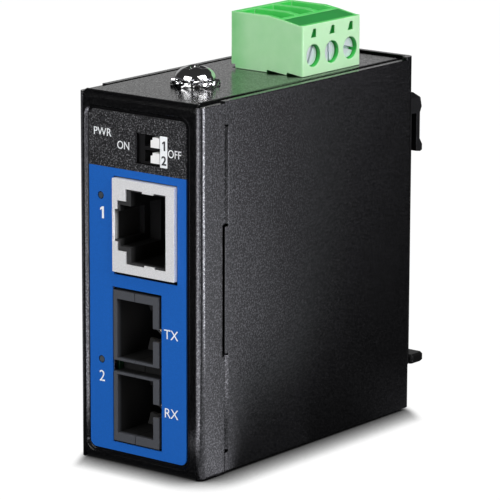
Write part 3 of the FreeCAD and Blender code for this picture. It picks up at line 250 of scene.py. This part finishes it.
def makePortPlastic(name):
    look = ports[name]
    finish, shader, base, place = newFinish(name, look["sockets"])
    along = place.axes()[1]
    # painted shade: the colour darkens towards deep the farther it lies behind the front panel
    deep = (along - wall["front"]).spread(look["start"], look["reach"])
    grain = grainy(base, place, portGrain["size"])
    face = grain.spread(*portGrain["edge"]).tint(look["face"], scaled(look["face"], portGrain["lift"]))
    rough = look["roughness"] + grain.swing(portGrain["rough"]) + deep * portGrain["deepRough"]
    wire(finish, shader, {
        "Base Color": deep.tint(face, look["deep"]),
        "Roughness": rough.clamped(),
        "Normal": bumped(base, grain, portGrain["bump"], portGrain["depth"], portGrain["soften"]),
    })
    return finish


# pale: the lighter green that the painted light and the random milky tone mix in; deep: the block's green
block = {
    "deep": (0.03, 0.42, 0.06), "pale": (0.48, 0.76, 0.47), "roughness": 0.4, "roughGrain": 0.1,
    "facing": (0.5, 0.9), "screwSide": 7 * mm,
    "endFace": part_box("terminal_plug")[0].y + 0.2 * mm, "endFade": (-5.3 * mm, -1 * mm, 0.42, 0.74),
    "rimRadius": 0.35 * mm, "rimEdge": (0.995, 0.93), "rimLevel": 0.35,
    "milkSize": 3 * mm, "milkLevel": 0.25, "grain": 0.2 * mm,
    "bump": 0.15, "depth": 0.01 * mm, "soften": 0.2 * mm,
    "sockets": {"Specular IOR Level": 0.3, "Subsurface Weight": 0.12, "Subsurface Scale": 1.0,
                "Subsurface Radius": (0.8 * mm, 1.4 * mm, 0.6 * mm)},
}


def makeBlockGreen():
    # painted light: faces turned right on the screw side and the front end face are painted paler than
    # the top and the funnels, and the rims get a painted highlight; a random milky tone goes over it all
    look = block
    finish, shader, base, place = newFinish("blockGreen", look["sockets"])
    normal = base.make("ShaderNodeTexCoord", None, None, "Normal")
    right, back, _ = normal.axes()
    across, along, _ = place.axes()
    # painted light: faces turned right past the screw side, and the front end face, paler towards its
    # right, are painted paler
    side = (right.spread(*look["facing"]) * (across > look["screwSide"])).clamped()
    end = (back * -1.0).spread(*look["facing"]) * (along < look["endFace"]) * (
        across.spread(*look["endFade"]))
    # painted highlight: edges, where the softened normal turns from the true one, are painted paler
    bend = base.make("ShaderNodeVectorMath", {"operation": "DOT_PRODUCT"}, {
        0: softened(base, look["rimRadius"]), 1: normal}, "Value")
    rimHighlight = bend.spread(*look["rimEdge"]) * look["rimLevel"]
    milk = cloud(base, place, look["milkSize"], 3.0)
    grain = grainy(base, place, look["grain"])
    pale = side + end + rimHighlight + milk.swing(look["milkLevel"])
    wire(finish, shader, {
        "Base Color": pale.clamped().tint(look["deep"], look["pale"]),
        "Roughness": look["roughness"] + grain.swing(look["roughGrain"]),
        "Normal": bumped(base, grain, look["bump"], look["depth"], look["soften"]),
    })
    return finish


# drift: how far the colour wanders; roughDrift: how far the roughness does
evenLook = {"sockets": {}, "drift": 0.08, "driftSize": 6 * mm, "driftShare": 0.6, "roughDrift": 0.08,
            "grain": 0.12 * mm, "mixEdge": (0.35, 0.65), "bump": 0.2, "depth": 0.01 * mm,
            "soften": 0.08 * mm}
metal = {"Metallic": 1.0}
looks = {
    "blackPlastic": {"colour": (0.004, 0.004, 0.0042), "roughness": 0.4, "bump": 0.25,
                     "sockets": {"Specular IOR Level": 0.2}},
    "chrome": {"colour": (0.86, 0.86, 0.87), "roughness": 0.07, "sockets": metal, "bump": 0.05,
               "drift": 0.02, "roughDrift": 0.05, "soften": 0.1 * mm},
    "steel": {"colour": (0.6, 0.6, 0.61), "roughness": 0.25, "sockets": metal, "bump": 0.15},
    "zinc": {"colour": (0.72, 0.77, 0.8), "roughness": 0.32, "sockets": {"Metallic": 0.55}},
    "gold": {"colour": (0.83, 0.56, 0.2), "roughness": 0.22, "sockets": metal, "bump": 0.05},
    "capGreen": {"colour": (0.006, 0.17, 0.025), "roughness": 0.4, "bump": 0.15, "soften": 0.15 * mm,
                 "sockets": {"Specular IOR Level": 0.2}},
    "whitePlastic": {"colour": (0.85, 0.85, 0.85), "roughness": 0.35, "soften": 0.12 * mm},
    "darkPipe": {"colour": (0.012, 0.012, 0.014), "roughness": 0.4},
    "lampPlastic": {"colour": (0.05, 0.065, 0.085), "roughness": 0.25, "sockets": {"IOR": 1.49}},
    "boardMask": {"colour": (0.005, 0.045, 0.015), "roughness": 0.35},
    "blackScrew": {"colour": (0.05, 0.05, 0.052), "roughness": 0.3, "sockets": metal},
    "canSteel": {"colour": (0.65, 0.66, 0.68), "roughness": 0.22, "sockets": metal},
    "whiteInk": {"colour": (0.86, 0.88, 0.9), "roughness": 0.5, "soften": 0.0, "bump": 0.05},
    "blackInk": {"colour": (0.01, 0.01, 0.012), "roughness": 0.5, "soften": 0.0, "bump": 0.05},
}


def makeEven(name, changes):
    look = {**evenLook, **changes}
    finish, shader, base, place = newFinish(name, look["sockets"])
    drift = cloud(base, place, look["driftSize"], 3.0)
    grain = grainy(base, place, look["grain"])
    mixed = mixOf(drift, grain, look["driftShare"]).spread(*look["mixEdge"])
    darker, lighter = [scaled(look["colour"], 1 + change) for change in (-look["drift"], look["drift"])]
    wire(finish, shader, {
        "Base Color": mixed.tint(darker, lighter),
        "Roughness": (look["roughness"] + drift.swing(look["roughDrift"])).clamped(),
        "Normal": bumped(base, grain, look["bump"], look["depth"], look["soften"]),
    })
    return finish


finishes = {name: makeEven(name, look) for name, look in looks.items()}
finishes.update({name: makePortPlastic(name) for name in ports})
finishes["powderPaint"] = makePaint()
finishes["labelFilm"] = makeLabelFilm()
finishes["blockGreen"] = makeBlockGreen()
wears = {
    "powderPaint": ["front_chassis", "rear_cover", "board_standoffs"],
    "labelFilm": ["front_label"],
    "modulePlastic": ["module_lower_shell", "module_upper_shell", "tx_latch", "rx_latch", "module_body"],
    "jackPlastic": ["rj45_insert"],
    "jackNickel": ["rj45_shield"],
    "blockGreen": ["terminal_plug", "terminal_header"],
    "blackPlastic": ["switch_housing", "din_bracket", "din_latch", "switch_chip", "line_transformer",
                     "power_inductor"],
    "chrome": ["ground_screw", "star_washer"],
    "steel": ["board_screws", "tx_barrel", "rx_barrel", "bracket_screws", "latch_spring", "clamp_cage_1",
              "clamp_cage_2", "clamp_cage_3", "chip_leads"],
    "zinc": ["clamp_screw_1", "clamp_screw_2", "clamp_screw_3"],
    "gold": ["rj45_contacts", "tx_sleeve", "rx_sleeve", "module_pins", "switch_pins", "header_pins",
             "plug_contacts"],
    "capGreen": ["terminal_cap"],
    "whitePlastic": ["switch_lever_1", "switch_lever_2", "power_led", "port_one_led", "port_two_led"],
    "darkPipe": ["power_light_pipe"],
    "lampPlastic": ["port_one_light_pipe", "port_two_light_pipe"],
    "boardMask": ["circuit_board"],
    "blackScrew": ["cover_screws"],
    "canSteel": ["filter_capacitors", "crystal"],
}
for finishName, wearers in wears.items():
    for wearer in wearers:
        skins = nodes[wearer].data.materials
        skins.clear()
        skins.append(finishes[finishName])
print("finishes on", sum(len(wearers) for wearers in wears.values()), "of", len(nodes), "nodes")


# marks printed on the label and on the strip beside the switch's levers

printed = {"lift": 0.02 * mm, "thick": 0.02 * mm, "capShare": 0.72, "curveSteps": 6}
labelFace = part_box("front_label")[0].y
strip = {"across": (4.4 * mm, 5.9 * mm), "up": (51.0 * mm, 56.15 * mm), "gap": 0.005 * mm,
         "proud": 0.03 * mm, "corner": 0.05 * mm, "cornerSteps": 4}
# spot is the middle, across and up; tall is a capital's height; wide stretches the letters
labelMarks = {
    "print_pwr_mark": {"words": "PWR", "spot": (-7.75 * mm, 55.35 * mm), "tall": 1.35 * mm, "wide": 0.95},
    "print_on_mark": {"words": "ON", "spot": (-3.3 * mm, 53.6 * mm), "tall": 1.35 * mm, "wide": 0.9},
    "print_off_mark": {"words": "OFF", "spot": (7.4 * mm, 53.4 * mm), "tall": 1.35 * mm, "wide": 0.85},
    "print_2_mark": {"words": "2", "spot": (-8.1 * mm, 14.3 * mm), "tall": 1.9 * mm, "wide": 1.0},
    "print_tx_mark": {"words": "TX", "spot": (6.6 * mm, 23.5 * mm), "tall": 1.65 * mm, "wide": 1.0},
    "print_rx_mark": {"words": "RX", "spot": (6.6 * mm, 10.3 * mm), "tall": 1.65 * mm, "wide": 1.0},
}
portOne = {"spot": (-8.0 * mm, 42.0 * mm), "tall": 2.0 * mm}
leverOne = {"spot": (5.1 * mm, 54.6 * mm), "tall": 1.55 * mm}
leverTwo = {"words": "2", "spot": (5.2 * mm, 52.1 * mm), "tall": 1.5 * mm, "wide": 1.0, "bold": 0.03}
# a one with a flag and no foot, for a height of 1
oneOutline = [(0.04, 0.0), (0.24, 0.0), (0.24, 1.0), (0.08, 1.0), (-0.16, 0.84), (-0.16, 0.66),
              (0.04, 0.78)]


def addPiece(name, data, finish):
    data.materials.append(finish)
    piece = bpy.data.objects.new(name, data)
    bpy.context.scene.collection.objects.link(piece)
    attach(piece, "converter")
    return piece


def printWords(name, mark, face, ink):
    curve = bpy.data.curves.new(name, "FONT")
    curve.body = mark["words"]
    curve.size = mark["tall"] / printed["capShare"]
    curve.align_x = "CENTER"
    curve.align_y = "CENTER"
    curve.extrude = printed["thick"] / 2
    curve.offset = mark.get("bold", 0.0) * mark["tall"]
    curve.resolution_u = printed["curveSteps"]
    piece = addPiece(name, curve, ink)
    piece.rotation_euler = (math.radians(90), 0, 0)
    piece.scale = (mark["wide"], 1, 1)
    piece.location = (mark["spot"][0], face - printed["lift"], mark["spot"][1])


def printOne(name, mark, face, ink):
    tall, thick = mark["tall"], printed["thick"]
    near = [(x * tall, 0.0, (z - 0.5) * tall) for x, z in oneOutline]
    far = [(x, thick, z) for x, _, z in near]
    count = len(near)
    sides = [(k, k + count, (k + 1) % count + count, (k + 1) % count) for k in range(count)]
    ends = [tuple(range(count)), tuple(reversed(range(count, 2 * count)))]
    mesh = bpy.data.meshes.new(name)
    mesh.from_pydata(near + far, [], ends + sides)
    piece = addPiece(name, mesh, ink)
    piece.location = (mark["spot"][0], face - printed["lift"] - thick / 2, mark["spot"][1])


def makeStrip(name):
    # a thin plate with rounded corners
    low = Vector((strip["across"][0], labelFace - strip["proud"], strip["up"][0]))
    high = Vector((strip["across"][1], labelFace - strip["gap"], strip["up"][1]))
    size, middle = high - low, (high + low) / 2
    build = bmesh.new()
    bmesh.ops.create_cube(build, size=1.0)
    for vert in build.verts:
        vert.co = vert.co * size + middle
    corners = [edge for edge in build.edges if abs(edge.verts[0].co.y - edge.verts[1].co.y) > size.y / 2]
    bmesh.ops.bevel(build, geom=corners, affect="EDGES", offset=strip["corner"],
                    segments=strip["cornerSteps"])
    mesh = bpy.data.meshes.new(name)
    build.to_mesh(mesh)
    build.free()
    addPiece(name, mesh, finishes["whiteInk"])


stripFace = labelFace - strip["proud"]
for name, mark in labelMarks.items():
    printWords(name, mark, labelFace, finishes["whiteInk"])
makeStrip("switch_strip")
printOne("print_1_mark", portOne, labelFace, finishes["whiteInk"])
printOne("switch_number_1", leverOne, stripFace, finishes["blackInk"])
printWords("switch_number_2", leverTwo, stripFace, finishes["blackInk"])
print("label printed")


# the ground screw's polished dome with its cross recess

screwLow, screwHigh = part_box("ground_screw")
dome = {
    "tip": screwLow.z, "seat": 62.82 * mm, "tall": 2.36 * mm, "wide": 3.38 * mm, "skirt": 0.5 * mm,
    "crown": 2.6, "shoulder": 0.62,     # powers of the dome's outline
    "arm": 1.75 * mm, "slim": 0.42 * mm, "slope": 0.3 * mm, "depth": 1.3 * mm, "rise": 0.6,     # recess
    "shank": 1.45 * mm, "rings": 40, "turns": 96,
}


def domeHeight(x, y):
    off = math.hypot(x, y)
    reach = min(1.0, off / dome["wide"])
    swell = (1 - reach ** dome["crown"]) ** dome["shoulder"]
    outside = dome["skirt"] + (dome["tall"] - dome["skirt"]) * swell
    bite = 0.0
    for along, aside in ((abs(x), abs(y)), (abs(y), abs(x))):
        inside = min(dome["arm"] - along, dome["slim"] - aside) / dome["slope"]
        bite = max(bite, min(1.0, max(0.0, inside + 0.5)))
    depth = dome["depth"] * max(0.0, 1 - dome["rise"] * (off / dome["arm"]) ** 2)
    return outside - depth * bite


def domeRing(reach, height=None):
    # points once round; without a height they lie on the dome
    ring = []
    for turn in range(dome["turns"]):
        angle = 2 * math.pi * turn / dome["turns"]
        x, y = reach * math.cos(angle), reach * math.sin(angle)
        ring.append((x, y, domeHeight(x, y) if height is None else height))
    return ring


def makeDome():
    rings, turns = dome["rings"], dome["turns"]
    points = [(0.0, 0.0, domeHeight(0, 0))]
    for ring in range(1, rings + 1):
        points += domeRing(dome["wide"] * math.sin(math.pi / 2 * ring / rings))
    tip = dome["tip"] - dome["seat"]
    for reach, height in ((dome["wide"], 0.0), (dome["shank"], 0.0), (dome["shank"], tip)):
        points += domeRing(reach, height)
    faces = [(0, 1 + turn, 1 + (turn + 1) % turns) for turn in range(turns)]
    for ring in range(rings + 2):
        near, far = 1 + ring * turns, 1 + (ring + 1) * turns
        for turn in range(turns):
            after = (turn + 1) % turns
            faces.append((near + turn, far + turn, far + after, near + after))
    last = 1 + (rings + 2) * turns
    faces.append(tuple(last + turn for turn in reversed(range(turns))))
    mesh = bpy.data.meshes.new("ground_screw_dome")
    mesh.from_pydata(points, [], faces)
    mesh.shade_smooth()
    piece = addPiece("ground_screw_dome", mesh, finishes["chrome"])
    piece.location = ((screwLow.x + screwHigh.x) / 2, (screwLow.y + screwHigh.y) / 2, dome["seat"])
    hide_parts("ground_screw")


makeDome()
print("screw turned")


# camera, lights and floor

# target: how far to the camera's right of the origin it aims, and how high
view = {"azimuth": 38.16, "elevation": 12.96, "distance": 598.9 * mm, "lens": 255.75, "roll": 0.185,
        "target": (0.081 * mm, 31.635 * mm), "sensor": 36, "farthest": 10.0}
lampAim = Vector((0, 0, 30 * mm))
# mirrored: whether polished metal shows the lamp; the ground screw's head stays dark on top
lamps = {
    "overhead": {"azimuth": 150, "elevation": 78, "distance": 0.55, "size": (0.5, 0.5), "power": 2.2,
                 "mirrored": False},
    "frontSoft": {"azimuth": -8, "elevation": 24, "distance": 0.7, "size": (0.5, 0.5), "power": 3.7,
                  "mirrored": True},
    "rightSoft": {"azimuth": 86, "elevation": 38, "distance": 0.6, "size": (0.42, 0.35), "power": 3.7,
                  "mirrored": True},
}


def towards(azimuth, elevation):
    # azimuth turns from the front panel to the right
    turn, rise = math.radians(azimuth), math.radians(elevation)
    return Vector((math.sin(turn) * math.cos(rise), -math.cos(turn) * math.cos(rise), math.sin(rise)))


def makeCamera():
    back = towards(view["azimuth"], view["elevation"])
    turn = math.radians(view["azimuth"])
    side = Vector((math.cos(turn), math.sin(turn), 0))
    target = side * view["target"][0] + Vector((0, 0, view["target"][1]))
    data = bpy.data.cameras.new("camera")
    data.lens = view["lens"]
    data.sensor_width = view["sensor"]
    data.clip_end = view["farthest"]
    camera = bpy.data.objects.new("camera", data)
    aim = back.to_track_quat("Z", "Y").to_matrix() @ Matrix.Rotation(math.radians(view["roll"]), 3, "Z")
    camera.matrix_world = Matrix.Translation(target + back * view["distance"]) @ aim.to_4x4()
    bpy.context.scene.collection.objects.link(camera)
    bpy.context.scene.camera = camera


def makeLamp(name, look):
    back = towards(look["azimuth"], look["elevation"])
    data = bpy.data.lights.new(name, "AREA")
    data.shape = "RECTANGLE"
    data.size, data.size_y = look["size"]
    data.energy = look["power"]
    lamp = bpy.data.objects.new(name, data)
    lamp.matrix_world = Matrix.Translation(lampAim + back * look["distance"]) @ (
        back.to_track_quat("Z", "Y").to_matrix().to_4x4())
    lamp.visible_glossy = look["mirrored"]
    bpy.context.scene.collection.objects.link(lamp)


def raySorts(base):
    path = base.make("ShaderNodeLightPath")
    outs = path.socket.node.outputs
    kinds = ("Is Camera Ray", "Is Glossy Ray", "Is Transmission Ray")
    return [Wire(base.tree, outs[kind]) for kind in kinds]


def glowing(base, kind, red, green, blue):
    colour = base.make("ShaderNodeCombineColor", None, {0: red, 1: green, 2: blue})
    return base.make(kind, None, {"Color": colour, "Strength": 1.0})


# ambient lights plain surfaces, through shows in clear ones, behind and above show in mirrors
sky = {"ambient": 0.12, "through": 0.8, "behind": 0.43, "above": 0.03,
       "behindEdge": (0.1, 0.5), "sideEdge": (0.3, -0.3), "lowEdge": (0.3, 0.5, 1.0, 0.0)}


def makeWorld():
    # white to the camera; mirrors see it dark above and brighter low behind on the left
    world = bpy.data.worlds.new("studio")
    bpy.context.scene.world = world
    world.use_nodes = True
    tree = world.node_tree
    tree.nodes.clear()
    base = Wire(tree)
    seen, mirrored, through = raySorts(base)
    across, along, rise = base.make("ShaderNodeTexCoord", None, None, "Generated").axes()
    low = rise.spread(*sky["lowEdge"])
    behind = along.spread(*sky["behindEdge"]) * across.spread(*sky["sideEdge"]) * low * sky["behind"]
    rest = (1 - seen - mirrored - through) * sky["ambient"]
    glow = (seen + mirrored * (behind + sky["above"]) + through * sky["through"] + rest).clamped()
    shade = glowing(base, "ShaderNodeBackground", glow, glow, glow)
    out = tree.nodes.new("ShaderNodeOutputWorld")
    tree.links.new(shade.socket, out.inputs[0])


# the shadow lies at the case's foot and fades out past its left side and its back
shadow = {"reach": 7 * mm, "power": 4.2, "samples": 8,
          "leftEdge": (0.0, 2.2 * mm), "backEdge": (-2 * mm, 1.8 * mm),
          "leftLean": 0.5, "leftCorner": (25.8 * mm, 28 * mm),
          "backLean": 0.8, "backCorner": (37.8 * mm, 40.6 * mm)}


def footShadow(base, across, along):
    # 0 in the deepest shadow, 1 in the clear
    openness = base.make("ShaderNodeAmbientOcclusion", {"samples": shadow["samples"]}, {
        "Distance": shadow["reach"]}, "AO")
    dark = 1 - openness ** shadow["power"]
    for clear in (
        (wall["left"] - across).spread(*shadow["leftEdge"]),
        (along - wall["back"]).spread(*shadow["backEdge"]),
        (across * -1.0 - along * shadow["leftLean"]).spread(*shadow["leftCorner"]),
        (along + across * shadow["backLean"]).spread(*shadow["backCorner"]),
    ):
        dark = dark * (1 - clear)
    return 1 - dark


# lit areas of the floor that only reflections see, so dark paint shows soft light in its sides and bends;
# level is how bright one is, a lean is an edge's slope, and each Edge is where it eases in or out
patch = {
    "rest": 0.01, "cool": 0.1, "clear": 14 * mm,
    "right": {"level": 0.85, "lean": 1.28, "edge": (-19 * mm, -24 * mm), "edgeLevel": 1.75,
              "fanEdge": (0.13, -0.16), "fanPower": 1.9, "farEdge": (25 * mm, 85 * mm, 0.05, 0.85),
              "frontLean": 0.3, "frontEdge": (-45 * mm, -15 * mm)},
    "front": {"level": 5.0, "nearEdge": (15 * mm, 70 * mm), "leftLean": -0.1, "leftEdge": (0.0, 10 * mm),
              "rightLean": 0.7, "rightEdge": (10 * mm, -10 * mm)},
    "left": {"level": 0.4, "cornerEdge": (0.0, 28 * mm), "backEdge": (60 * mm, -20 * mm)},
    "glint": {"level": 11.0, "lean": 0.45, "edge": (0.0, 25 * mm), "nearEdge": (60 * mm, 130 * mm),
              "frontLean": 0.12, "frontEdge": (0.0, 20 * mm)},
    "band": {"level": 5.5, "from": (-11 * mm, -29 * mm), "lean": (0.616, 0.788),
             "lowEdge": (-13 * mm, -7 * mm), "highEdge": (13 * mm, 7 * mm),
             "nearEdge": (-40 * mm, -60 * mm)},
}


def rightPatch(across, along):
    # a fan behind a brighter strip, in the right side
    look = patch["right"]
    out = across - wall["right"]
    past = along - out * look["lean"]
    edge = past.spread(*look["edge"])
    fan = (past / out).spread(*look["fanEdge"]) ** look["fanPower"] * across.spread(*look["farEdge"])
    front = (along + across * look["frontLean"]).spread(*look["frontEdge"])
    both = fan * (1 - edge) + edge * look["edgeLevel"]
    return both * front * (across > patch["clear"]) * look["level"]


def frontPatch(across, along):
    # a wedge ahead of the case, in the right bend
    look = patch["front"]
    ahead = wall["front"] - along
    left = (across - ahead * look["leftLean"]).spread(*look["leftEdge"])
    right = (across - ahead * look["rightLean"]).spread(*look["rightEdge"])
    return ahead.spread(*look["nearEdge"]) * left * right * look["level"]


def leftPatch(across, along):
    # a dim area beside the left bend
    look = patch["left"]
    return (along - across).spread(*look["cornerEdge"]) * along.spread(*look["backEdge"]) * look["level"]


def glintPatch(across, along):
    # a bright far area, in the edges of the right side
    look = patch["glint"]
    edge = (across * look["lean"] - along).spread(*look["edge"])
    front = (along + across * look["frontLean"]).spread(*look["frontEdge"])
    return edge * across.spread(*look["nearEdge"]) * front * (across > patch["clear"]) * look["level"]


def bandPatch(across, along):
    # a stripe ahead on the left, in the left rim of the label's recess
    look = patch["band"]
    start, lean = look["from"], look["lean"]
    aside = (across - start[0]) * lean[0] + (along - start[1]) * lean[1]
    return aside.spread(*look["lowEdge"]) * aside.spread(*look["highEdge"]) * (
        along.spread(*look["nearEdge"]) * look["level"])


floor = {"half": 1.5, "sink": 0.02 * mm, "paper": (0.02, 0.02, 0.02), "toneLift": 1.1,
         "toneSize": 40 * mm, "roughness": 0.9, "bounce": 0.3}


def makePaper():
    # white with the foot shadow to the camera, lit patches to reflections, an even bounce to the rest
    finish, shader, base, place = newFinish("floorPaper", {
        "Roughness": floor["roughness"], "Specular IOR Level": 0.0})
    seen, mirrored, _ = raySorts(base)
    across, along, _ = place.axes()
    places = [make(across, along) for make in (rightPatch, frontPatch, leftPatch, glintPatch, bandPatch)]
    lit = mirrored * sum(places, patch["rest"])
    glow = seen * footShadow(base, across, along) + lit + (1 - seen - mirrored) * floor["bounce"]
    emission = glowing(base, "ShaderNodeEmission", glow, glow, glow + lit * patch["cool"])
    tone = cloud(base, place, floor["toneSize"])
    paler = scaled(floor["paper"], floor["toneLift"])
    wire(finish, shader, {"Base Color": tone.tint(floor["paper"], paler)})
    both = base.make("ShaderNodeAddShader", None, {0: Wire(base.tree, shader.outputs[0]), 1: emission})
    base.tree.links.new(both.socket, base.tree.nodes["Material Output"].inputs[0])
    return finish


def makeFloor():
    half = floor["half"]
    corners = [(-half, -half, 0), (half, -half, 0), (half, half, 0), (-half, half, 0)]
    mesh = bpy.data.meshes.new("floor")
    mesh.from_pydata(corners, [], [(0, 1, 2, 3)])
    mesh.materials.append(makePaper())
    piece = bpy.data.objects.new("floor", mesh)
    piece.location.z = -floor["sink"]
    bpy.context.scene.collection.objects.link(piece)


makeCamera()
for name, look in lamps.items():
    makeLamp(name, look)
makeWorld()
makeFloor()
bpy.context.scene.view_settings.view_transform = "Standard"
print("stage set")
